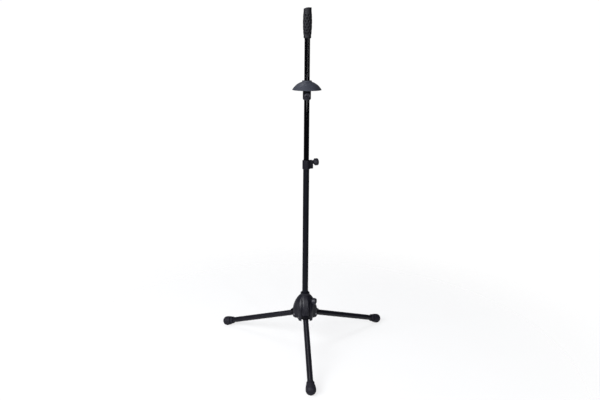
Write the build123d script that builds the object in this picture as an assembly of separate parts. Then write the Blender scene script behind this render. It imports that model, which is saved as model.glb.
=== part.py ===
from build123d import *
import os
from math import atan2, degrees, hypot, sqrt

# A folding floor stand for a brass instrument, in millimetres, +Z up.
# Three round legs hinge in a moulded hub, a telescoping mast rises from the hub, and a domed
# bell rest slides on the mast below a rubber grip. Three thumb screws clamp the sliding pieces.
# The origin is on the floor, at the middle of the box round the spread feet. The front leg
# points along -Y, and the mast stands a quarter of the leg reach behind the origin.

# ---- driving dimensions ----
leg_reach = 256.0            # mast axis to the centre of each foot
mast_y = leg_reach / 4
leg_azimuths = {"front": 0, "rear_right": 120, "rear_left": 240}

leg_tube_d = 15.0
lower_tube_d = 16.0
upper_tube_d = 14.0
tube_wall = 0.8
lower_tube_wall = 0.7
run_gap = 0.05               # radial clearance of a running fit
free_gap = 0.3               # gap between bodies that pass each other freely
joint_gap = 0.1              # between two tubes or plugs that meet end to end
end_bevel = 0.6              # broken edge on pins, studs, plugs and bushes

foot_ball_d = 26.0
foot_centre_z = 12.4
foot_bead_d = 20.4           # the bead round the mouth
foot_groove_d = 16.8
foot_waist_d = 22.6           # where the body meets the groove
foot_shoulder_d = 25.4        # where the body starts to taper
foot_shoulder_back = 5.0      # from the ball centre back toward the hub
foot_groove_start = 13.8     # from the ball centre back toward the hub
foot_groove_end = 15.6
foot_neck_length = 23.0      # ball centre to the mouth of the rubber foot
foot_bore_past_centre = 3.0

pivot_reach = 24.0           # mast axis to each leg's hinge pin
pivot_z = 91.7
pin_d = 5.0
pin_short = 0.4              # each end stops this far inside its lobe's side

hub_bottom_z = 82.8
hub_shoulder_z = 107.0
hub_neck_z = 149.5
hub_ring_bottom_z = 149.0    # a thin-walled ring stands round the tube on top of the hub
hub_top_z = 154.6
hub_ring_d = 25.0
hub_ring_bore_d = 21.2
hub_r = 33.2
neck_r = 10.8
shoulder_bow = 3.8           # how far the bell shape bows out from shoulder to neck
lobe_half_width = 20.0
lobe_reach = hub_r + 0.4     # just clear of the bell shape, so only the lobe's corners cut it
lobe_corner_r = 15.0
valley_r = 7.0               # rounding between two lobes
hub_foot_r = 1.2
slot_half_width = 11.2
hub_barrel_r = 14.5          # solid core of the hub, inside the leg slots
slot_roof_z = 100.6
panel_bottom_z = 97.9
panel_half_width = 10.8
panel_corner_r = 6.5
panel_proud = 1.3            # the rounded panel over each slot stands this far out
panel_wall = 3.2
pocket_floor_r = 6.2         # the hub's flared pocket round its screw's knob
pocket_r = 10.4
pocket_depth = 4.9

knuckle_r = 6.6              # the leg's inner end, round its pin
tongue_half_width = 5.6
tongue_end = 11.0            # from here to the tube the fitting is as thick as the tube
nose_start = 10.6
nose_end = 15.6
nose_top = 11.2
nose_edge_r = 1.2
fitting_end = 17.0           # the tube starts here
shank_end = 48.0

hub_screw_z = 132.8
hub_screw_azimuth = 60.0
collar_bottom_z = 497.4
collar_top_z = 521.0
collar_step_z = 509.0        # the lower tube ends here, inside the collar
collar_screw_z = 515.0
collar_screw_azimuth = 106.5
collar_d = 20.2
boss_width = 11.0
boss_reach = 17.5            # mast axis to the outer face of each screw boss
boss_side_r = 1.6
boss_end_r = 1.2
collar_bevel = 1.2

sleeve_bottom_z = 674.5
sleeve_top_z = 714.0
sleeve_screw_z = 686.0
sleeve_screw_azimuth = -2.5
sleeve_d = 20.8
sleeve_foot_bevel = 3.0
sleeve_top_bevel = 0.8
sleeve_boss_bottom_z = 677.0
sleeve_boss_top_z = 696.0

dome_rim_z = 700.0
dome_rim_d = 74.4
dome_sphere_r = 42.3
dome_wall = 2.6
dome_boss_d = 24.5
dome_top_z = 723.4
dome_boss_bottom_z = 705.5
dome_boss_edge_r = 1.6

grip_bottom_z = 825.0
grip_top_z = 898.0
grip_belly_r = 11.3
grip_belly_up = 37.5         # above the grip's bottom
grip_band_r = 9.2
grip_cap_r = 10.0
grip_cap_height = 12.0
grip_shoulder_r = 9.9
grip_edge_bevel = 0.9
upper_tube_top_z = 886.0
bush_bottom_z = 190.0
bush_guide_length = 15.0
bush_bore_d = 8.0
plug_flange_d = 19.0
plug_flange_length = 3.2
plug_shank_length = 20.0

# M6 thumb screw with an oval head, measured outward from the mast axis
stud_d = 6.0
stud_end = 30.0
insert_d = 9.0
insert_length = 8.0
insert_sunk = 0.2            # below the boss's face
stud_hole_d = 6.6
knob_start = 18.0
knob_neck_d = 10.0
knob_flare_start = 19.8
knob_rim_start = 23.3
knob_rim_end = 33.0
knob_long_d = 18.8
knob_short_d = 14.6
knob_edge_r = 2.6
knob_recess_d = 5.4
knob_recess_depth = 0.7
knob_button_d = 3.0
knob_button_sunk = 0.2
knob_pockets = 6
knob_pocket_d = 2.6
knob_pocket_past_rim = 2.5
knob_pocket_reach = 6.0
knob_lean = 24.0             # the oval leans this far from upright

leg_drop = degrees(atan2(pivot_z - foot_centre_z, leg_reach - pivot_reach))
leg_length = hypot(leg_reach - pivot_reach, pivot_z - foot_centre_z)


# ---- placing ----
def radial(shape, azimuth):
    """Turn a shape made along +X to point outward from the mast axis at an azimuth from -Y."""
    return Pos(0, mast_y, 0) * Rot(0, 0, azimuth - 90) * shape


def on_leg(shape, azimuth):
    """Place a shape made along +X from the hinge pin, so that it slopes down along its leg."""
    sloped = Pos(pivot_reach, 0, pivot_z) * Rot(0, leg_drop, 0) * shape
    return radial(sloped, azimuth)


def on_mast(shape):
    return Pos(0, mast_y, 0) * shape


def rod(diameter, start, end):
    """A round bar along +X."""
    bar = Cylinder(diameter / 2, end - start, align=(Align.CENTER, Align.CENTER, Align.MIN))
    return Pos(start, 0, 0) * Rot(0, 90, 0) * bar


def post(diameter, bottom, top):
    """A round bar along +Z."""
    bar = Cylinder(diameter / 2, top - bottom, align=(Align.CENTER, Align.CENTER, Align.MIN))
    return Pos(0, 0, bottom) * bar


def block(x_low, x_high, y_half, z_low, z_high):
    size = (x_high - x_low, 2 * y_half, z_high - z_low)
    return Pos((x_low + x_high) / 2, 0, (z_low + z_high) / 2) * Box(*size)


def turned(points):
    """Revolve a closed outline of (radius, height) points about the mast axis."""
    return revolve(Plane.XZ * make_face(Polyline(*points, close=True)), Axis.Z)


# ---- hub ----
def hub_bell(extra):
    """The hub's bell shape, its skirt and shoulder standing `extra` outside the nominal one."""
    shoulder = (hub_r + extra, hub_shoulder_z)
    neck = (neck_r + extra, hub_neck_z)
    outline = [
        Polyline((0, hub_neck_z), (0, hub_bottom_z), (hub_r + extra, hub_bottom_z), shoulder),
        SagittaArc(shoulder, neck, -shoulder_bow),
        Line(neck, (0, hub_neck_z)),
    ]
    return revolve(Plane.XZ * make_face(Curve() + outline), Axis.Z)


def hub_body():
    """Three rounded lobes round a bored core. Each lobe is slotted for a leg under a panel."""
    far = hub_r + 10
    lobe = block(0, lobe_reach, lobe_half_width, hub_bottom_z, hub_neck_z)
    lobe = fillet(lobe.edges().filter_by(Axis.Z).group_by(Axis.X)[-1], lobe_corner_r)
    lobes = Part()
    for azimuth in leg_azimuths.values():
        lobes += Rot(0, 0, azimuth - 90) * lobe
    valleys = lobes.edges().filter_by(Axis.Z).sort_by(lambda e: hypot(e.center().X, e.center().Y))
    lobes = fillet(valleys[0:3], valley_r)
    hub = hub_bell(0) & lobes
    hub = fillet(hub.edges().group_by(Axis.Z)[0], hub_foot_r)
    at_screw = Rot(0, 0, hub_screw_azimuth - 90) * Pos(0, 0, hub_screw_z)
    hub -= at_screw * hub_screw_pocket()
    for azimuth in leg_azimuths.values():
        turn = Rot(0, 0, azimuth - 90)
        hub -= turn * block(hub_barrel_r, far, slot_half_width, hub_bottom_z - 1, hub_top_z)
        hub += turn * hub_panel()
        hub -= turn * rod_across(pin_d, pivot_reach, pivot_z, lobe_half_width + 1)
    ring = post(hub_ring_d, hub_ring_bottom_z, hub_top_z)
    hub += chamfer(ring.edges().group_by(Axis.Z)[-1], end_bevel)
    hub -= post(hub_ring_bore_d, hub_neck_z, hub_top_z + 1)
    hub -= post(lower_tube_d + 2 * run_gap, hub_bottom_z - 1, hub_top_z + 1)
    hub -= at_screw * screw_hole(lower_tube_d)
    return on_mast(hub)


def hub_screw_pocket():
    """The flared pocket in the hub that clears its screw's knob, along +X."""
    flare = Rot(0, 90, 0) * Solid.make_cone(pocket_floor_r, pocket_r, pocket_depth)
    return Pos(boss_reach, 0, 0) * flare + rod(2 * pocket_r, boss_reach + pocket_depth, hub_r + 10)


def rod_across(diameter, x, z, half_length):
    """A round bar along Y, through (x, z)."""
    bar = Cylinder(diameter / 2, 2 * half_length)
    return Pos(x, 0, z) * Rot(90, 0, 0) * bar


def hub_panel():
    """The rounded panel that closes a slot's upper part, hollowed over the leg's knuckle."""
    reach = hub_r + 10
    panel = hub_bell(panel_proud) & block(0, reach, panel_half_width, panel_bottom_z, hub_neck_z)
    panel = fillet(panel.edges().filter_by(is_panel_edge), panel_corner_r)
    hollow = block(hub_barrel_r, hub_r - panel_wall, slot_half_width, hub_bottom_z, slot_roof_z)
    return panel - hollow


def is_panel_edge(edge):
    """The long outer edges where the panel's sides meet its curved front."""
    middle = edge.position_at(0.5)
    on_side = abs(abs(middle.Y) - panel_half_width) < 0.01
    return on_side and middle.X > neck_r and edge.length > 5


def screw_hole(tube_d):
    """The stepped hole for a brass insert and its stud, along +X."""
    insert_start = boss_reach - insert_length - insert_sunk
    seat = rod(insert_d, insert_start, boss_reach + 1)
    return seat + rod(stud_hole_d, tube_d / 2 - 1, insert_start)


# ---- thumb screws ----
def thread_insert():
    outer_end = boss_reach - insert_sunk
    ring = rod(insert_d, outer_end - insert_length, outer_end)
    return ring - rod(stud_d + 2 * run_gap, 0, boss_reach + 1)


def screw_stud(tube_d):
    """A plain-shanked M6 stud whose tip bears on the tube."""
    stud = rod(stud_d, tube_d / 2 + run_gap, stud_end)
    return chamfer(stud.edges().sort_by(Axis.X)[0], end_bevel)


def oval(x, long_d, short_d):
    return Plane(origin=(x, 0, 0), x_dir=(0, 0, 1), z_dir=(1, 0, 0)) * Ellipse(long_d / 2, short_d / 2)


def screw_knob():
    """An oval moulded head with a flared underside and a small recess in its face."""
    neck = rod(knob_neck_d, knob_start, knob_flare_start)
    flare = loft([oval(knob_flare_start, knob_neck_d, knob_neck_d),
                  oval(knob_rim_start, knob_long_d, knob_short_d)])
    rim = extrude(oval(knob_rim_start, knob_long_d, knob_short_d), knob_rim_end - knob_rim_start)
    rim = fillet(rim.edges().sort_by(Axis.X)[-1], knob_edge_r)
    head = neck + flare + rim
    head -= rod(knob_recess_d, knob_rim_end - knob_recess_depth, knob_rim_end + 1)
    head += rod(knob_button_d, knob_rim_end - 1, knob_rim_end - knob_button_sunk)
    head -= rod(stud_d + 2 * run_gap, 0, stud_end + joint_gap)
    pocket = rod(knob_pocket_d, knob_flare_start - 1, knob_rim_start + knob_pocket_past_rim)
    pocket = Pos(0, 0, knob_pocket_reach) * pocket
    for turn in range(knob_pockets):
        head -= Rot((turn + 0.5) * 360 / knob_pockets, 0, 0) * pocket
    return Rot(-knob_lean, 0, 0) * head


# ---- legs ----
def leg_fitting():
    """The moulded inner end of a leg: a knuckle on the pin, a tongue, a stop nose and a shank."""
    knuckle = rod_across(2 * knuckle_r, 0, 0, slot_half_width - free_gap)
    tongue = block(0, tongue_end + 1, tongue_half_width, -knuckle_r, knuckle_r)
    body = rod(leg_tube_d, tongue_end, fitting_end)
    nose = block(nose_start, nose_end, tongue_half_width, 0, nose_top)
    nose = fillet(nose.edges().filter_by(Axis.Y).group_by(Axis.Z)[-1], nose_edge_r)
    shank = rod(leg_tube_d - 2 * tube_wall, fitting_end, shank_end)
    fitting = knuckle + tongue + body + nose + shank
    return fitting - rod_across(pin_d + 2 * run_gap, 0, 0, slot_half_width + 1)


def leg_pin():
    """The hinge pin, driven through both cheeks of its lobe."""
    pin = rod_across(pin_d, pivot_reach, pivot_z, lobe_half_width - pin_short)
    return chamfer(pin.edges().filter_by(GeomType.CIRCLE), end_bevel)


def leg_tube():
    tube_end = leg_length + foot_bore_past_centre
    tube = rod(leg_tube_d, fitting_end, tube_end)
    return tube - rod(leg_tube_d - 2 * tube_wall, fitting_end - 1, tube_end + 1)


def rubber_foot():
    """A ball foot with a tapered body, a groove and a bead, and a small flat where it stands."""
    ball_r = foot_ball_d / 2
    bead_r = foot_bead_d / 2
    outline = [
        (0, 0), (foot_shoulder_d / 2, foot_shoulder_back), (foot_waist_d / 2, foot_groove_start),
        (foot_groove_d / 2, foot_groove_start + 0.3), (foot_groove_d / 2, foot_groove_end - 0.3),
        (bead_r - 0.1, foot_groove_end), (bead_r, foot_groove_end + 3.0),
        (bead_r - 0.3, foot_neck_length - 1.2), (bead_r - 1.2, foot_neck_length), (0, foot_neck_length),
    ]
    neck = Rot(0, -90, 0) * turned(outline)
    foot = Sphere(ball_r) + neck
    foot -= rod(leg_tube_d, -foot_neck_length - 1, foot_bore_past_centre)
    foot -= Rot(0, -leg_drop, 0) * block(-ball_r, ball_r, ball_r, -2 * ball_r, -foot_centre_z)
    return Pos(leg_length, 0, 0) * foot


# ---- mast ----
def mast_end_plug():
    """The plug the lower tube turns on. Its flange stops the mast under the hub."""
    flange_top = hub_bottom_z - free_gap
    flange = post(plug_flange_d, flange_top - plug_flange_length, flange_top)
    flange = chamfer(flange.edges().group_by(Axis.Z)[0], end_bevel)
    shank_d = lower_tube_d - 2 * lower_tube_wall - 2 * run_gap
    shank = post(shank_d, flange_top, flange_top + plug_shank_length)
    return on_mast(flange + chamfer(shank.edges().group_by(Axis.Z)[-1], end_bevel))


def lower_tube():
    bottom = hub_bottom_z - free_gap + joint_gap
    tube = post(lower_tube_d, bottom, collar_step_z)
    return on_mast(tube - post(lower_tube_d - 2 * lower_tube_wall, bottom - 1, collar_step_z + 1))


def screw_boss(bottom, top):
    """The block that carries a clamp screw, standing out from a collar along +X."""
    boss = block(0, boss_reach, boss_width / 2, bottom, top)
    boss = fillet(boss.edges().filter_by(Axis.Z).group_by(Axis.X)[-1], boss_side_r)
    return fillet(boss.faces().sort_by(Axis.X)[-1].edges().filter_by(Axis.Y), boss_end_r)


def height_collar():
    """Fixed on the lower tube's top end. Its upper half guides and clamps the upper tube."""
    ring = post(collar_d, collar_bottom_z, collar_top_z)
    ring = chamfer(ring.edges().filter_by(GeomType.CIRCLE), collar_bevel)
    turn = Rot(0, 0, collar_screw_azimuth - 90)
    collar = ring + turn * screw_boss(collar_bottom_z + collar_bevel, collar_top_z - 0.6)
    collar -= post(lower_tube_d, collar_bottom_z - 1, collar_step_z)
    collar -= post(upper_tube_d + 2 * run_gap, collar_step_z - 1, collar_top_z + 1)
    collar -= turn * Pos(0, 0, collar_screw_z) * screw_hole(upper_tube_d)
    return on_mast(collar)


def upper_tube_bush():
    """The guide on the upper tube's lower end, which slides inside the lower tube."""
    guide_top = bush_bottom_z + bush_guide_length
    guide = post(lower_tube_d - 2 * lower_tube_wall - 2 * run_gap, bush_bottom_z, guide_top)
    guide = chamfer(guide.edges(), end_bevel)
    shank_d = upper_tube_d - 2 * tube_wall - 2 * run_gap
    shank = post(shank_d, guide_top, guide_top + bush_guide_length)
    bush = guide + chamfer(shank.edges().group_by(Axis.Z)[-1], end_bevel)
    return on_mast(bush - post(bush_bore_d, bush_bottom_z - 1, guide_top + bush_guide_length + 1))


def upper_tube():
    bottom = bush_bottom_z + bush_guide_length + joint_gap
    tube = post(upper_tube_d, bottom, upper_tube_top_z)
    return on_mast(tube - post(upper_tube_d - 2 * tube_wall, bottom - 1, upper_tube_top_z + 1))


# ---- bell rest ----
def spherical_cap(radius):
    """The part of the dome's sphere above its rim plane."""
    depth = sqrt(dome_sphere_r ** 2 - (dome_rim_d / 2) ** 2)
    centre_z = dome_rim_z - depth
    ball = Pos(0, 0, centre_z) * Sphere(radius)
    return ball & post(3 * dome_rim_d, dome_rim_z, dome_rim_z + dome_rim_d)


def rest_dome():
    """A thin round cap with a raised collar on top, hollow below, that slides on the mast."""
    bore_d = upper_tube_d + 2 * run_gap
    shell = spherical_cap(dome_sphere_r) - spherical_cap(dome_sphere_r - dome_wall)
    collar = post(dome_boss_d, dome_boss_bottom_z, dome_top_z)
    collar = fillet(collar.edges().group_by(Axis.Z)[-1], dome_boss_edge_r)
    socket = post(sleeve_d + 2 * free_gap, dome_rim_z - 1, sleeve_top_z + free_gap)
    return on_mast(shell + collar - socket - post(bore_d, dome_rim_z, dome_top_z + 1))


def rest_sleeve():
    """The clamp sleeve under the dome, with a screw boss on its front."""
    bore_d = upper_tube_d + 2 * run_gap
    barrel = post(sleeve_d, sleeve_bottom_z, sleeve_top_z)
    barrel = chamfer(barrel.edges().group_by(Axis.Z)[0], sleeve_foot_bevel)
    barrel = chamfer(barrel.edges().group_by(Axis.Z)[-1], sleeve_top_bevel)
    turn = Rot(0, 0, sleeve_screw_azimuth - 90)
    sleeve = barrel + turn * screw_boss(sleeve_boss_bottom_z, sleeve_boss_top_z)
    sleeve -= post(bore_d, sleeve_bottom_z - 1, sleeve_top_z + 1)
    sleeve -= turn * Pos(0, 0, sleeve_screw_z) * screw_hole(upper_tube_d)
    return on_mast(sleeve)


# ---- grip ----
def top_grip():
    """A barrel-shaped rubber grip, closed over the upper tube's end."""
    band_edge = (grip_band_r, grip_bottom_z + 1.6)
    belly = (grip_belly_r, grip_bottom_z + grip_belly_up)
    cap_edge = (grip_cap_r, grip_top_z - grip_cap_height)
    outline = [
        Polyline((0, grip_top_z), (0, grip_bottom_z), (grip_band_r - 0.8, grip_bottom_z), band_edge),
        ThreePointArc(band_edge, belly, cap_edge),
        Polyline(cap_edge, (grip_shoulder_r, grip_top_z - grip_edge_bevel),
                 (grip_shoulder_r - grip_edge_bevel, grip_top_z), (0, grip_top_z)),
    ]
    grip = revolve(Plane.XZ * make_face(Curve() + outline), Axis.Z)
    return on_mast(grip - post(upper_tube_d, grip_bottom_z - 1, upper_tube_top_z))


# ---- writing ----
def thumb_screw(name, tube_d, height, azimuth):
    """The insert, stud and head of one clamp screw, at a height and azimuth on the mast."""
    pieces = {
        "thread_insert": thread_insert(),
        "screw_stud": screw_stud(tube_d),
        "screw_knob": screw_knob(),
    }
    at = Pos(0, 0, height)
    return {f"{name}_{piece}": radial(at * shape, azimuth) for piece, shape in pieces.items()}


def all_nodes():
    nodes = {"hub_body": hub_body()}
    for side, azimuth in leg_azimuths.items():
        nodes[f"leg_pin_{side}"] = radial(leg_pin(), azimuth)
        nodes[f"leg_fitting_{side}"] = on_leg(leg_fitting(), azimuth)
        nodes[f"leg_tube_{side}"] = on_leg(leg_tube(), azimuth)
        nodes[f"rubber_foot_{side}"] = on_leg(rubber_foot(), azimuth)
    nodes["mast_end_plug"] = mast_end_plug()
    nodes["lower_tube"] = lower_tube()
    nodes["height_collar"] = height_collar()
    nodes["upper_tube_bush"] = upper_tube_bush()
    nodes["upper_tube"] = upper_tube()
    nodes["rest_dome"] = rest_dome()
    nodes["rest_sleeve"] = rest_sleeve()
    nodes["top_grip"] = top_grip()
    nodes.update(thumb_screw("hub", lower_tube_d, hub_screw_z, hub_screw_azimuth))
    nodes.update(thumb_screw("collar", upper_tube_d, collar_screw_z, collar_screw_azimuth))
    nodes.update(thumb_screw("sleeve", upper_tube_d, sleeve_screw_z, sleeve_screw_azimuth))
    return nodes


os.makedirs("parts", exist_ok=True)
for node, shape in all_nodes().items():
    export_step(shape, f"parts/{node}.step")
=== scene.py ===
import math

import bmesh
import bpy
from mathutils import Matrix, Vector


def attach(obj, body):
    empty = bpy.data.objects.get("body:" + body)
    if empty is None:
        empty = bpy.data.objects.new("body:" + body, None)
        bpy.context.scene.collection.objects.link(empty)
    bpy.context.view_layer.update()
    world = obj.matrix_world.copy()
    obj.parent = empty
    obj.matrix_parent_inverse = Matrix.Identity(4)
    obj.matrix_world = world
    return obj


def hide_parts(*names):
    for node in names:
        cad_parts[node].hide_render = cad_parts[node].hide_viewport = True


# A folding floor stand for a brass instrument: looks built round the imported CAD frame.
# Everything is in metres in the frame's own axes, and MM turns millimetres into them.

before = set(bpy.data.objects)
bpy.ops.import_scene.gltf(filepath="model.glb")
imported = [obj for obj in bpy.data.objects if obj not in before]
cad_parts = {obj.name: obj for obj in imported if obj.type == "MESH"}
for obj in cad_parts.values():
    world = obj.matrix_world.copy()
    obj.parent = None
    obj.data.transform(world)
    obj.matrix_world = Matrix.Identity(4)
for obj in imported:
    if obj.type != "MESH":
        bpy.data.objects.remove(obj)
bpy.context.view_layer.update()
MM = 0.001

# ---- the stand's own dimensions, in millimetres, as in the CAD ----
MAST_Y = 64.0
LEG_AZIMUTHS = {"front": 0.0, "rear_right": 120.0, "rear_left": 240.0}
PIVOT_REACH, PIVOT_Z = 24.0, 91.7
FOOT_REACH, FOOT_Z = 256.0, 12.4
LEG_TUBE_D = 15.0
LEG_DROP = math.atan2(PIVOT_Z - FOOT_Z, FOOT_REACH - PIVOT_REACH)
LEG_LENGTH = math.hypot(PIVOT_Z - FOOT_Z, FOOT_REACH - PIVOT_REACH)
# Height and azimuth of each clamp screw
SCREWS = {"hub": (132.8, 60.0), "collar": (515.0, 106.5), "sleeve": (686.0, -2.5)}
KNOB_LEAN = 24.0
STUD_D = 6.0

# The camera's place from the mast axis and its lens in millimetres, and the way it looks in degrees
CAMERA_FROM_MAST = (-98.1, -1582.0)
CAMERA_Z = 833.3
CAMERA_HEADING = 2.985
CAMERA_PITCH = 14.8
CAMERA_ROLL = 0.36
CAMERA_LENS, CAMERA_SENSOR = 37.5, 36.0
CAMERA_AZIMUTH = math.degrees(math.atan2(CAMERA_FROM_MAST[0], -CAMERA_FROM_MAST[1]))


# ---- placing ----
def radial(azimuth, z=0.0):
    """Takes a shape made along +X to point outward from the mast axis at an azimuth from -Y."""
    turn = Matrix.Rotation(math.radians(azimuth - 90), 4, "Z")
    return Matrix.Translation((0, MAST_Y, z)) @ turn


def on_leg(azimuth):
    """Takes a shape made along +X from the hinge pin to its leg."""
    slope = Matrix.Rotation(LEG_DROP, 4, "Y")
    return radial(azimuth) @ Matrix.Translation((PIVOT_REACH, 0, PIVOT_Z)) @ slope


# ---- outlines ----
def soften(points, steps=5, closed=False):
    """Rounds a polyline of (x, y, setback) corners, each by its own setback."""
    made = []
    count = len(points)
    for i, (x, y, setback) in enumerate(points):
        ends = not closed and i in (0, count - 1)
        if setback <= 0 or ends:
            made.append((x, y))
            continue
        here = Vector((x, y))
        before = Vector(points[i - 1][:2]) - here
        after = Vector(points[(i + 1) % count][:2]) - here
        start = here + before.normalized() * min(setback, before.length * 0.48)
        end = here + after.normalized() * min(setback, after.length * 0.48)
        for k in range(steps + 1):
            t = k / steps
            p = start * (1 - t) ** 2 + here * 2 * t * (1 - t) + end * t**2
            made.append((p.x, p.y))
    return made


def dense(points, step):
    """Adds points along a polyline so that none are further apart than step."""
    made = [points[0]]
    for (x0, y0), (x1, y1) in zip(points, points[1:]):
        n = max(1, math.ceil(math.hypot(x1 - x0, y1 - y0) / step))
        made += [(x0 + (x1 - x0) * k / n, y0 + (y1 - y0) * k / n) for k in range(1, n + 1)]
    return made


def arc(centre, radius, start, end, steps):
    """Points on an arc, by angles in degrees."""
    angles = [math.radians(start + (end - start) * k / steps) for k in range(steps + 1)]
    return [(centre[0] + radius * math.cos(a), centre[1] + radius * math.sin(a)) for a in angles]


# ---- meshes ----
def skin(name, rings, matrix, closed=False, floor=None):
    """A mesh through rings of points, in the frame. A ring of one point closes an end."""
    bm = bmesh.new()
    rows = [[bm.verts.new(p) for p in ring] for ring in rings]
    pairs = list(zip(rows, rows[1:]))
    if closed:
        pairs.append((rows[-1], rows[0]))
    for low, high in pairs:
        count = max(len(low), len(high))
        for i in range(count):
            j = (i + 1) % count
            corners = [low[i % len(low)], low[j % len(low)], high[j % len(high)], high[i % len(high)]]
            bm.faces.new(list(dict.fromkeys(corners)))
    bmesh.ops.recalc_face_normals(bm, faces=bm.faces)
    bm.transform(Matrix.Scale(MM, 4) @ matrix)
    for vert in bm.verts:
        if floor is not None and vert.co.z < floor:
            vert.co.z = floor
    mesh = bpy.data.meshes.new(name)
    bm.to_mesh(mesh)
    bm.free()
    mesh.shade_smooth()
    made = bpy.data.objects.new(name, mesh)
    bpy.context.scene.collection.objects.link(made)
    return made


def turned(outline, count, relief=None):
    """Rings about +Z from (radius, height) points, with relief(angle, height, radius) added outward."""
    rings = []
    for r, z in outline:
        if r < 1e-6:
            rings.append([(0, 0, z)])
            continue
        ring = []
        for k in range(count):
            a = 2 * math.pi * k / count
            out = r + (relief(a, z, r) if relief else 0)
            ring.append((out * math.sin(a), -out * math.cos(a), z))
        rings.append(ring)
    return rings


def along_x(rings):
    """Turns rings made about +Z to run along +X instead."""
    return [[(z, x, y) for x, y, z in ring] for ring in rings]


def smooth_step(low, high, value):
    t = min(max((value - low) / (high - low), 0), 1)
    return t * t * (3 - 2 * t)


def ease(piece, angle=32):
    """Keeps crisp corners sharper than the angle, in degrees, and shades the rest smooth."""
    piece.data.set_sharp_from_angle(angle=math.radians(angle))
    return piece


# ---- materials ----
def node_tree(name):
    material = bpy.data.materials.new(name)
    material.use_nodes = True
    tree = material.node_tree
    return material, tree, tree.nodes["Principled BSDF"]


def noise(tree, coords, scale, detail=3.0, rough=0.55, stretch=(1, 1, 1)):
    """A noise texture in object space, stretched along the axes."""
    scaled = tree.nodes.new("ShaderNodeMapping")
    scaled.inputs["Scale"].default_value = stretch
    tree.links.new(coords, scaled.inputs["Vector"])
    made = tree.nodes.new("ShaderNodeTexNoise")
    made.inputs["Scale"].default_value = scale
    made.inputs["Detail"].default_value = detail
    made.inputs["Roughness"].default_value = rough
    tree.links.new(scaled.outputs[0], made.inputs["Vector"])
    return made.outputs["Fac"]


def ramp(tree, factor, stops):
    """A colour ramp through (position, colour) stops."""
    made = tree.nodes.new("ShaderNodeValToRGB")
    made.color_ramp.elements[0].position = stops[0][0]
    made.color_ramp.elements[0].color = (*stops[0][1], 1)
    made.color_ramp.elements[1].position = stops[-1][0]
    made.color_ramp.elements[1].color = (*stops[-1][1], 1)
    for position, colour in stops[1:-1]:
        made.color_ramp.elements.new(position).color = (*colour, 1)
    tree.links.new(factor, made.inputs["Fac"])
    return made.outputs["Color"]


def spread(tree, factor, low, high, start=0.3, end=0.7):
    """Maps a factor to a range of plain values."""
    made = tree.nodes.new("ShaderNodeMapRange")
    made.inputs["From Min"].default_value = start
    made.inputs["From Max"].default_value = end
    made.inputs["To Min"].default_value = low
    made.inputs["To Max"].default_value = high
    tree.links.new(factor, made.inputs["Value"])
    return made.outputs["Result"]


def bump(tree, height, distance, strength, normal=None):
    made = tree.nodes.new("ShaderNodeBump")
    made.inputs["Distance"].default_value = distance
    made.inputs["Strength"].default_value = strength
    tree.links.new(height, made.inputs["Height"])
    if normal:
        tree.links.new(normal, made.inputs["Normal"])
    return made.outputs["Normal"]


def finish_of(name, tones, rough, grain, mottle=90, stretch=(1, 1, 1), waves=None, specular=0.5,
              metallic=0.0, scuffs=None):
    """One procedural finish: mottled tones, a grain, slow waves and faint scuffs."""
    material, tree, shader = node_tree(name)
    coords = tree.nodes.new("ShaderNodeTexCoord").outputs["Object"]
    blotches = noise(tree, coords, mottle, 4, 0.6, stretch)
    low, high = tones
    middle = tuple((a + b) / 2 for a, b in zip(low, high))
    colour = ramp(tree, blotches, [(0.3, low), (0.5, middle), (0.7, high)])
    roughness = spread(tree, noise(tree, coords, mottle * 2.7, 3, 0.6, stretch), *rough)
    if scuffs:
        mark_scale, mark_colour, mark_rough = scuffs
        lines = noise(tree, coords, mark_scale, 2, 0.5, (1, 1, 0.12))
        share = spread(tree, lines, 0, 1, 0.66, 0.76)
        mixed = tree.nodes.new("ShaderNodeMix")
        mixed.data_type = "RGBA"
        tree.links.new(share, mixed.inputs["Factor"])
        tree.links.new(colour, mixed.inputs[6])
        mixed.inputs[7].default_value = (*mark_colour, 1)
        colour = mixed.outputs[2]
        worn = tree.nodes.new("ShaderNodeMath")
        worn.operation = "MULTIPLY_ADD"
        worn.inputs[1].default_value = mark_rough
        tree.links.new(share, worn.inputs[0])
        tree.links.new(roughness, worn.inputs[2])
        roughness = worn.outputs[0]
    normal = None
    if waves:
        normal = bump(tree, noise(tree, coords, waves[0], 1, 0.4), waves[1], waves[2])
    grain_scale, grain_depth, grain_strength = grain
    normal = bump(tree, noise(tree, coords, grain_scale, 4, 0.65), grain_depth, grain_strength, normal)
    tree.links.new(colour, shader.inputs["Base Color"])
    tree.links.new(roughness, shader.inputs["Roughness"])
    tree.links.new(normal, shader.inputs["Normal"])
    shader.inputs["Metallic"].default_value = metallic
    shader.inputs["Specular IOR Level"].default_value = specular
    return material


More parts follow.
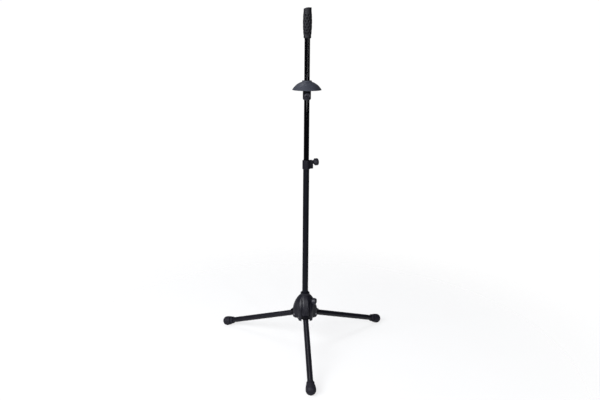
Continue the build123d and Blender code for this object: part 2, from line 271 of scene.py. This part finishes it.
FINISHES = {
    "hub_plastic": dict(
        tones=((0.0110, 0.0106, 0.0165), (0.0170, 0.0165, 0.0250)), rough=(0.30, 0.40),
        grain=(2200, 0.00006, 0.5), mottle=70, specular=0.42),
    "fitting_plastic": dict(
        tones=((0.0040, 0.0038, 0.0062), (0.0070, 0.0068, 0.0105)), rough=(0.38, 0.52),
        grain=(2200, 0.00006, 0.5), mottle=80, specular=0.25),
    "collar_plastic": dict(
        tones=((0.0120, 0.0117, 0.0175), (0.0190, 0.0186, 0.0270)), rough=(0.28, 0.38),
        grain=(2200, 0.00006, 0.5), mottle=80, specular=0.40),
    "knob_plastic": dict(
        tones=((0.0250, 0.0246, 0.0330), (0.0350, 0.0344, 0.0460)), rough=(0.24, 0.31),
        grain=(2600, 0.00001, 0.2), mottle=110, specular=0.4),
    "dome_plastic": dict(
        tones=((0.052, 0.057, 0.075), (0.067, 0.073, 0.094)), rough=(0.42, 0.54),
        grain=(1500, 0.00010, 0.6), mottle=55, specular=0.35),
    "grip_rubber": dict(
        tones=((0.0080, 0.0082, 0.0112), (0.0150, 0.0154, 0.0200)), rough=(0.50, 0.64),
        grain=(1700, 0.00012, 0.7), mottle=140, specular=0.4),
    "foot_rubber": dict(
        tones=((0.0115, 0.0110, 0.0172), (0.0200, 0.0195, 0.0290)), rough=(0.48, 0.64),
        grain=(1700, 0.00010, 0.6), mottle=120, specular=0.3),
    "leg_paint": dict(
        tones=((0.0065, 0.0062, 0.0105), (0.0110, 0.0106, 0.0165)), rough=(0.26, 0.36),
        grain=(1400, 0.00003, 0.3), mottle=60, waves=(260, 0.00020, 0.25), specular=0.4,
        scuffs=(210, (0.026, 0.026, 0.034), 0.10)),
    "mast_satin_paint": dict(
        tones=((0.0045, 0.0056, 0.0090), (0.0078, 0.0090, 0.0136)), rough=(0.38, 0.48),
        grain=(1400, 0.00004, 0.35), mottle=60, stretch=(1, 1, 0.15), specular=0.20,
        waves=(240, 0.00015, 0.2), scuffs=(260, (0.016, 0.017, 0.024), 0.08)),
    "mast_gloss_paint": dict(
        tones=((0.0008, 0.0008, 0.0014), (0.0016, 0.0016, 0.0026)), rough=(0.07, 0.10),
        grain=(900, 0.000004, 0.1), mottle=60, stretch=(1, 1, 0.12), specular=0.45,
        waves=(120, 0.00002, 0.05), scuffs=(330, (0.003, 0.003, 0.0045), 0.03)),
    "insert_brass": dict(
        tones=((0.55, 0.38, 0.14), (0.72, 0.52, 0.22)), rough=(0.22, 0.38),
        grain=(1800, 0.00004, 0.5), metallic=1.0),
    "stud_steel": dict(
        tones=((0.42, 0.42, 0.44), (0.60, 0.60, 0.62)), rough=(0.20, 0.36),
        grain=(2400, 0.00004, 0.5), metallic=1.0),
    "pin_steel": dict(
        tones=((0.34, 0.34, 0.36), (0.52, 0.52, 0.54)), rough=(0.28, 0.44),
        grain=(2400, 0.00004, 0.5), metallic=1.0),
}
looks = {slot: finish_of(slot + "_look", **facts) for slot, facts in FINISHES.items()}
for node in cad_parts.values():
    for place in node.material_slots:
        place.material = looks[place.material.name.split(".")[0]]


def add(piece, body, node, slot):
    """Puts a finished piece on its body in place of a CAD node, with its slot's look."""
    piece.data.materials.append(looks[slot])
    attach(piece, body)
    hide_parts(node)
    return piece


# ---- grip ----
GRIP_BOTTOM, GRIP_TOP, GRIP_BORE_TOP = 825.0, 898.0, 886.0
GRIP_BORE_R = 7.02
GRIP_SIDES, GRIP_STEP = 176, 0.42
# Radius, height and rounding of each corner, from the bore's mouth to the middle of the top
GRIP_OUTLINE = [
    (GRIP_BORE_R, GRIP_BOTTOM, 0), (8.4, GRIP_BOTTOM, 0.8), (9.35, 826.6, 1.0), (9.5, 830.2, 0.9),
    (9.25, 831.6, 0.8), (10.2, 840, 4), (10.95, 852, 5), (11.2, 862.5, 5), (10.9, 874, 5),
    (10.3, 884.5, 3), (9.9, 888.5, 2), (9.85, GRIP_TOP - 0.4, 1.4), (8.6, GRIP_TOP, 1.0),
    (0, GRIP_TOP, 0)]
DENT_ROWS, DENT_FIRST_Z, DENT_PITCH = 7, 836.5, 7.1
# Heights where the dents start, reach full depth, leave it, and end
DENTS_START, DENTS_FULL_FROM, DENTS_FULL_TO, DENTS_END = 831.5, 834.5, 881.5, 885.0
DENT_COLUMNS = 8
DENT_AZIMUTH = CAMERA_AZIMUTH + 18.0
DENT_R, DENT_DEPTH = 2.0, 2.7
CUSHION_HEIGHT, CUSHION_REACH, CUSHION_WIDTH = 0.40, 3.0, 1.3
CAP_START, CAP_HALF_WIDTH = 885.0, 10.0
CAP_LEVEL_FROM, CAP_DROP = 3.0, 3.4


def grip_relief(angle, z, r):
    """Staggered dents in soft cushions, between the plain cap and the plain lower band."""
    if z > GRIP_BORE_TOP + 5 or r < 8:
        return 0
    between = smooth_step(DENTS_START, DENTS_FULL_FROM, z)
    between *= 1 - smooth_step(DENTS_FULL_TO, DENTS_END, z)
    lift = 0
    for row in range(DENT_ROWS):
        up = z - (DENT_FIRST_Z + row * DENT_PITCH)
        if abs(up) > DENT_PITCH:
            continue
        pitch = 2 * math.pi / DENT_COLUMNS
        turn = angle - math.radians(DENT_AZIMUTH) - (row % 2) * pitch / 2
        across = r * (turn - pitch * round(turn / pitch))
        far = math.hypot(across, up)
        lift -= DENT_DEPTH * math.exp(-((far / DENT_R) ** 2))
        lift += CUSHION_HEIGHT * math.exp(-(((far - CUSHION_REACH) / CUSHION_WIDTH) ** 2))
    return lift * between


def make_grip():
    """A barrel with staggered dents and a cap whose top rounds down toward one side."""
    bore = [(0, GRIP_BORE_TOP), (GRIP_BORE_R, GRIP_BORE_TOP)]
    outline = bore + dense(soften(GRIP_OUTLINE), GRIP_STEP)
    rings = turned(outline, GRIP_SIDES, grip_relief)
    away = math.radians(CAMERA_AZIMUTH)
    right = Vector((math.cos(away), math.sin(away), 0))
    slanted = []
    for ring in rings:
        moved = []
        for p in ring:
            share = smooth_step(CAP_START, GRIP_TOP - 2, p[2])
            side = max(CAP_LEVEL_FROM - right.dot(Vector(p)), 0) / (CAP_LEVEL_FROM + CAP_HALF_WIDTH)
            moved.append((p[0], p[1], p[2] - CAP_DROP * side**2 * share))
        slanted.append(moved)
    piece = skin("grip_cover", slanted, radial(90))
    return add(piece, "mast_upper", "top_grip", "grip_rubber")


# ---- dome ----
DOME_RIM_Z, DOME_RIM_R = 700.0, 37.2
DOME_SPHERE_R, DOME_WALL = 42.3, 2.6
DOME_BORE_R, DOME_SOCKET_R, DOME_SOCKET_TOP = 7.05, 10.7, 714.3
DOME_BOSS_R, DOME_BOSS_BOTTOM, DOME_TOP = 12.25, 705.5, 723.4
DOME_CROWN_FOOT, DOME_MID_BORE = 720.4, 716.0
DOME_SIDES = 144


def make_dome():
    """A thin spherical cap with a rolled rim, a raised crown and a socket underneath."""
    centre_z = DOME_RIM_Z - math.sqrt(DOME_SPHERE_R**2 - DOME_RIM_R**2)
    inner_r = DOME_SPHERE_R - DOME_WALL

    def edge(radius, at):
        return math.degrees(math.acos(at / radius))

    rim_out = math.degrees(math.asin((DOME_RIM_Z - centre_z) / DOME_SPHERE_R))
    rim_in = math.degrees(math.asin((DOME_RIM_Z - centre_z) / inner_r))
    outer = arc((0, centre_z), DOME_SPHERE_R, rim_out + 1.6, edge(DOME_SPHERE_R, DOME_BOSS_R + 1.6), 40)
    inner = arc((0, centre_z), inner_r, edge(inner_r, DOME_BOSS_R + 0.6), rim_in + 1.0, 34)
    lip = soften([(*inner[-1], 0), (inner_r * math.cos(math.radians(rim_in)), DOME_RIM_Z, 0.7),
                  (DOME_RIM_R, DOME_RIM_Z, 0.9), (*outer[0], 0)], 6)
    crown = soften([(*outer[-1], 0), (DOME_BOSS_R + 0.1, DOME_CROWN_FOOT, 0.7),
                    (DOME_BOSS_R - 0.1, DOME_TOP, 0.7), (DOME_BORE_R, DOME_TOP, 0.5),
                    (DOME_BORE_R, DOME_MID_BORE, 0)], 6)
    hollow = soften([(DOME_BORE_R, DOME_MID_BORE, 0), (DOME_BORE_R, DOME_SOCKET_TOP, 0.3),
                     (DOME_SOCKET_R, DOME_SOCKET_TOP, 0.3), (DOME_SOCKET_R, DOME_BOSS_BOTTOM, 0.4),
                     (DOME_BOSS_R, DOME_BOSS_BOTTOM, 0.4), (DOME_BOSS_R, inner[0][1] - 1.0, 0.6),
                     (*inner[0], 0)], 4)
    outline = lip + outer[1:-1] + crown + hollow[1:-1] + inner[:-1]
    piece = skin("dome_cap", turned(outline, DOME_SIDES), radial(90), closed=True)
    return add(ease(piece, 50), "bell_rest", "rest_dome", "dome_plastic")


# ---- thumb screw heads ----
KNOB_START, KNOB_FLARE, KNOB_RIM, KNOB_END = 18.0, 19.8, 23.3, 33.0
KNOB_LONG_R, KNOB_SHORT_R, KNOB_NECK_R = 9.4, 7.3, 5.0
KNOB_BORE_R, KNOB_BORE_END, KNOB_RECESS = STUD_D / 2 + 0.05, 30.2, 0.7
KNOB_SIDES, FLARE_STEPS = 132, 22
POCKETS, POCKET_R, POCKET_REACH, POCKET_DEPTH = 6, 1.7, 6.1, 2.6
# Share of the oval, distance along the screw and rounding of each corner of the rim
KNOB_RIM_OUTLINE = [
    (0.97, KNOB_RIM - 0.1, 0), (1.0, KNOB_RIM + 0.5, 0.4), (1.0, KNOB_END - 3.6, 1.2),
    (0.95, KNOB_END - 1.9, 1.2), (0.72, KNOB_END - 0.7, 1.6), (0.3, KNOB_END, 0)]
# Radius, distance along the screw and rounding of each corner of the face
KNOB_FACE_OUTLINE = [
    (3.5, KNOB_END, 0.3), (3.0, KNOB_END, 0.25), (2.75, KNOB_END - KNOB_RECESS, 0.2),
    (1.7, KNOB_END - KNOB_RECESS, 0.2), (1.45, KNOB_END - 0.2, 0.2), (0.8, KNOB_END - 0.15, 0.2),
    (0, KNOB_END - 0.15, 0)]


def oval_ring(x, grow):
    """A ring that goes from a round neck to the oval rim as grow goes from 0 to 1."""
    long_r = KNOB_NECK_R + (KNOB_LONG_R - KNOB_NECK_R) * grow
    short_r = KNOB_NECK_R + (KNOB_SHORT_R - KNOB_NECK_R) * grow
    ring = []
    for k in range(KNOB_SIDES):
        a = 2 * math.pi * k / KNOB_SIDES
        y, z = short_r * math.sin(a), long_r * math.cos(a)
        sunk = x
        if KNOB_FLARE < x < KNOB_RIM:
            pitch = 2 * math.pi / POCKETS
            turn = math.atan2(y, z) - pitch / 2
            off = turn - pitch * round(turn / pitch)
            reach = math.hypot(y, z)
            far = math.hypot(reach * math.cos(off) - POCKET_REACH, reach * math.sin(off))
            sunk = x + POCKET_DEPTH * (1 - smooth_step(POCKET_R * 0.45, POCKET_R, far))
        ring.append((sunk, y, z))
    return ring


def make_knob(name, z, azimuth):
    """An oval head: neck, flare with six pockets, plain rim, domed face with a ringed recess."""
    bore = turned([(KNOB_BORE_R, KNOB_BORE_END), (KNOB_BORE_R, KNOB_START)], KNOB_SIDES)
    rings = [[(KNOB_BORE_END, 0, 0)], *along_x(bore)]
    neck = soften([(KNOB_NECK_R - 0.5, KNOB_START, 0), (KNOB_NECK_R, KNOB_START, 0.4),
                   (KNOB_NECK_R, KNOB_FLARE, 0)], 3)
    rings += along_x(turned(neck, KNOB_SIDES))
    for k in range(1, FLARE_STEPS):
        grow = k / FLARE_STEPS
        rings.append(oval_ring(KNOB_FLARE + (KNOB_RIM - KNOB_FLARE) * grow, grow))
    for grow, x in soften(KNOB_RIM_OUTLINE, 6):
        rings.append(oval_ring(x, grow))
    rings += along_x(turned(soften(KNOB_FACE_OUTLINE, 3), KNOB_SIDES))
    lean = Matrix.Rotation(math.radians(-KNOB_LEAN), 4, "X")
    piece = skin(f"{name}_knob_head", rings, radial(azimuth, z) @ lean)
    return add(ease(piece, 40), f"{name}_knob", f"{name}_screw_knob", "knob_plastic")


# ---- feet ----
BALL_R = 12.97
FOOT_BORE_R, FOOT_BORE_END = LEG_TUBE_D / 2 + 0.02, 3.0
FOOT_SIDES, FOOT_STEP = 112, 0.8
FOOT_GROOVE, FOOT_GROOVE_R, FOOT_MOUTH = 14.6, 8.4, 23.0
SEAM_HEIGHT = 0.12
# Radius, distance past the ball's middle and rounding of each corner of the neck
FOOT_NECK = [
    (12.6, -5.0, 1.0), (11.5, 2.0 - FOOT_GROOVE, 0.8), (11.1, 1.0 - FOOT_GROOVE, 0.3),
    (FOOT_GROOVE_R, 0.8 - FOOT_GROOVE, 0.3), (FOOT_GROOVE_R, -0.8 - FOOT_GROOVE, 0.3),
    (10.1, -1.0 - FOOT_GROOVE, 0.6), (10.25, -4.0 - FOOT_GROOVE, 1.5), (10.0, 1.2 - FOOT_MOUTH, 1.2),
    (9.0, -FOOT_MOUTH, 1.1), (FOOT_BORE_R + 0.3, -FOOT_MOUTH, 0.3), (FOOT_BORE_R, 0.5 - FOOT_MOUTH, 0)]


def foot_relief(angle, z, r):
    """The mould's parting line, one thin ridge down each side."""
    if r < 9.0:
        return 0
    beside = abs(math.sin(angle)) * r
    return SEAM_HEIGHT * (1 - smooth_step(0.2, 0.6, beside))


def make_foot(side, azimuth):
    """A rubber ball with a tapered neck, a groove, and a bead round its mouth."""
    tip = arc((0, 0), BALL_R, 90, -18, 46)
    neck = soften([(*tip[-1], 0), *FOOT_NECK], 4)
    inside = [(FOOT_BORE_R, FOOT_BORE_END), (0, FOOT_BORE_END)]
    rings = turned(tip + dense(neck, FOOT_STEP)[1:] + inside, FOOT_SIDES, foot_relief)
    at = on_leg(azimuth) @ Matrix.Translation((LEG_LENGTH, 0, 0))
    piece = skin(f"ball_foot_{side}", along_x(rings), at, floor=0.0)
    return add(ease(piece, 60), f"leg_{side}", f"rubber_foot_{side}", "foot_rubber")


make_grip()
make_dome()
for name, (z, azimuth) in SCREWS.items():
    make_knob(name, z, azimuth)
for side, azimuth in LEG_AZIMUTHS.items():
    make_foot(side, azimuth)


# ---- floor, light and camera ----
FLOOR_HALF = 6.0
FLOOR_SOLID, FLOOR_GLOW = 0.45, 0.38
FLOOR_FADE_START, FLOOR_FADE_END = 0.4, 1.1
ROOM_LIGHT, BACKDROP_LIGHT = 0.02, 1.02
# Each patch of room light: where it starts, where it is whole, and its strength
FROM_BELOW, FROM_BEHIND, FROM_ABOVE = (-0.04, -0.30, 0.03), (0.45, 0.85, 0.25), (0.35, 0.95, 0.10)
ROOM_TINT = (0.90, 0.92, 1.0)
KEY_TINT = (0.95, 0.96, 1.0)
# name, place, target, size in metres, and power in watts
SOFTBOXES = [
    ("key", (-1.62, -1.38, 1.60), (0, 0.06, 0.5), (2.2, 1.15), 55),
    ("front", (0.30, -2.18, 2.05), (0, 0.06, 0.1), (0.30, 0.6), 6),
    ("strip", (1.10, -2.05, 1.30), (0, 0.06, 1.05), (0.16, 1.5), 9),
    ("low_card", (-0.06, -2.14, 0.50), (0, 0.03, 0.686), (0.60, 0.18), 2.2),
    ("overhead", (-0.45, 0.95, 2.35), (0, 0, 0.3), (1.2, 0.6), 7),
]


def soft_share(tree, value, start, end, strength):
    """A soft step from none at start to a strength at end."""
    made = tree.nodes.new("ShaderNodeMapRange")
    made.interpolation_type = "SMOOTHSTEP"
    made.inputs["From Min"].default_value = start
    made.inputs["From Max"].default_value = end
    made.inputs["To Min"].default_value = 0
    made.inputs["To Max"].default_value = strength
    tree.links.new(value, made.inputs["Value"])
    return made.outputs["Result"]


def make_floor():
    """A plain pale floor, partly clear and faintly lit, so that it stays even and nearly white."""
    mesh = bpy.data.meshes.new("floor")
    corners = [(FLOOR_HALF * x, FLOOR_HALF * y, 0) for x, y in ((-1, -1), (1, -1), (1, 1), (-1, 1))]
    mesh.from_pydata(corners, [], [(0, 1, 2, 3)])
    floor = bpy.data.objects.new("floor", mesh)
    bpy.context.scene.collection.objects.link(floor)
    material, tree, shader = node_tree("floor_paper")
    tree.nodes.remove(shader)
    coords = tree.nodes.new("ShaderNodeTexCoord").outputs["Object"]
    white = tree.nodes.new("ShaderNodeBsdfDiffuse")
    paper = ramp(tree, noise(tree, coords, 3), [(0.3, (0.90, 0.90, 0.90)), (0.7, (0.93, 0.93, 0.925))])
    tree.links.new(paper, white.inputs["Color"])
    glow = tree.nodes.new("ShaderNodeEmission")
    glow.inputs["Strength"].default_value = FLOOR_GLOW
    lit = tree.nodes.new("ShaderNodeAddShader")
    tree.links.new(white.outputs[0], lit.inputs[0])
    tree.links.new(glow.outputs[0], lit.inputs[1])
    clear = tree.nodes.new("ShaderNodeBsdfTransparent")
    both = tree.nodes.new("ShaderNodeMixShader")
    reach = tree.nodes.new("ShaderNodeVectorMath")
    reach.operation = "LENGTH"
    tree.links.new(coords, reach.inputs[0])
    solid = soft_share(tree, reach.outputs["Value"], FLOOR_FADE_END, FLOOR_FADE_START, FLOOR_SOLID)
    tree.links.new(solid, both.inputs["Fac"])
    tree.links.new(clear.outputs[0], both.inputs[1])
    tree.links.new(lit.outputs[0], both.inputs[2])
    tree.links.new(both.outputs[0], tree.nodes["Material Output"].inputs["Surface"])
    mesh.materials.append(material)


def make_world():
    """Plain white for the camera, and for the stand faint light from below, behind and above."""
    world = bpy.data.worlds.new("studio")
    world.use_nodes = True
    tree = world.node_tree
    tree.nodes.clear()
    out = tree.nodes.new("ShaderNodeOutputWorld")
    axes = tree.nodes.new("ShaderNodeSeparateXYZ")
    tree.links.new(tree.nodes.new("ShaderNodeTexCoord").outputs["Generated"], axes.inputs[0])
    patches = [soft_share(tree, axes.outputs["Z"], *FROM_BELOW),
               soft_share(tree, axes.outputs["Y"], *FROM_BEHIND),
               soft_share(tree, axes.outputs["Z"], *FROM_ABOVE)]
    total = patches[0]
    for patch in patches[1:]:
        more = tree.nodes.new("ShaderNodeMath")
        more.operation = "MAXIMUM"
        tree.links.new(total, more.inputs[0])
        tree.links.new(patch, more.inputs[1])
        total = more.outputs[0]
    base = tree.nodes.new("ShaderNodeMath")
    base.inputs[1].default_value = ROOM_LIGHT
    tree.links.new(total, base.inputs[0])
    room = tree.nodes.new("ShaderNodeBackground")
    tree.links.new(base.outputs[0], room.inputs["Strength"])
    backdrop = tree.nodes.new("ShaderNodeBackground")
    backdrop.inputs["Strength"].default_value = BACKDROP_LIGHT
    both = tree.nodes.new("ShaderNodeMixShader")
    tree.links.new(tree.nodes.new("ShaderNodeLightPath").outputs["Is Camera Ray"], both.inputs["Fac"])
    for i, (shader, tint) in enumerate(((room, ROOM_TINT), (backdrop, (1, 1, 1)))):
        shader.inputs["Color"].default_value = (*tint, 1)
        tree.links.new(shader.outputs[0], both.inputs[i + 1])
    tree.links.new(both.outputs[0], out.inputs["Surface"])
    bpy.context.scene.world = world


def softbox(name, place, target, size, watts):
    light = bpy.data.lights.new(name, "AREA")
    light.shape = "RECTANGLE"
    light.size, light.size_y = size
    light.energy = watts
    light.color = KEY_TINT
    made = bpy.data.objects.new(name, light)
    made.location = place
    made.rotation_mode = "QUATERNION"
    made.rotation_quaternion = (Vector(target) - Vector(place)).to_track_quat("-Z", "Y")
    made.visible_camera = False
    bpy.context.scene.collection.objects.link(made)


def make_camera():
    data = bpy.data.cameras.new("camera")
    data.sensor_width = CAMERA_SENSOR
    data.lens = CAMERA_LENS
    data.clip_start, data.clip_end = 0.05, 50
    heading, pitch, roll = (math.radians(a) for a in (CAMERA_HEADING, CAMERA_PITCH, CAMERA_ROLL))
    level = math.cos(pitch)
    ahead = Vector((math.sin(heading) * level, math.cos(heading) * level, -math.sin(pitch)))
    right = Vector((math.cos(heading), -math.sin(heading), 0))
    up = right.cross(ahead)
    side = right * math.cos(roll) + up * math.sin(roll)
    top = up * math.cos(roll) - right * math.sin(roll)
    turn = Matrix((side, top, -ahead)).transposed()
    camera = bpy.data.objects.new("camera", data)
    camera.rotation_mode = "QUATERNION"
    camera.rotation_quaternion = turn.to_quaternion()
    camera.location = (CAMERA_FROM_MAST[0] * MM, (MAST_Y + CAMERA_FROM_MAST[1]) * MM, CAMERA_Z * MM)
    bpy.context.scene.collection.objects.link(camera)
    bpy.context.scene.camera = camera


make_floor()
make_world()
for facts in SOFTBOXES:
    softbox(*facts)
make_camera()
bpy.context.scene.view_settings.view_transform = "Standard"
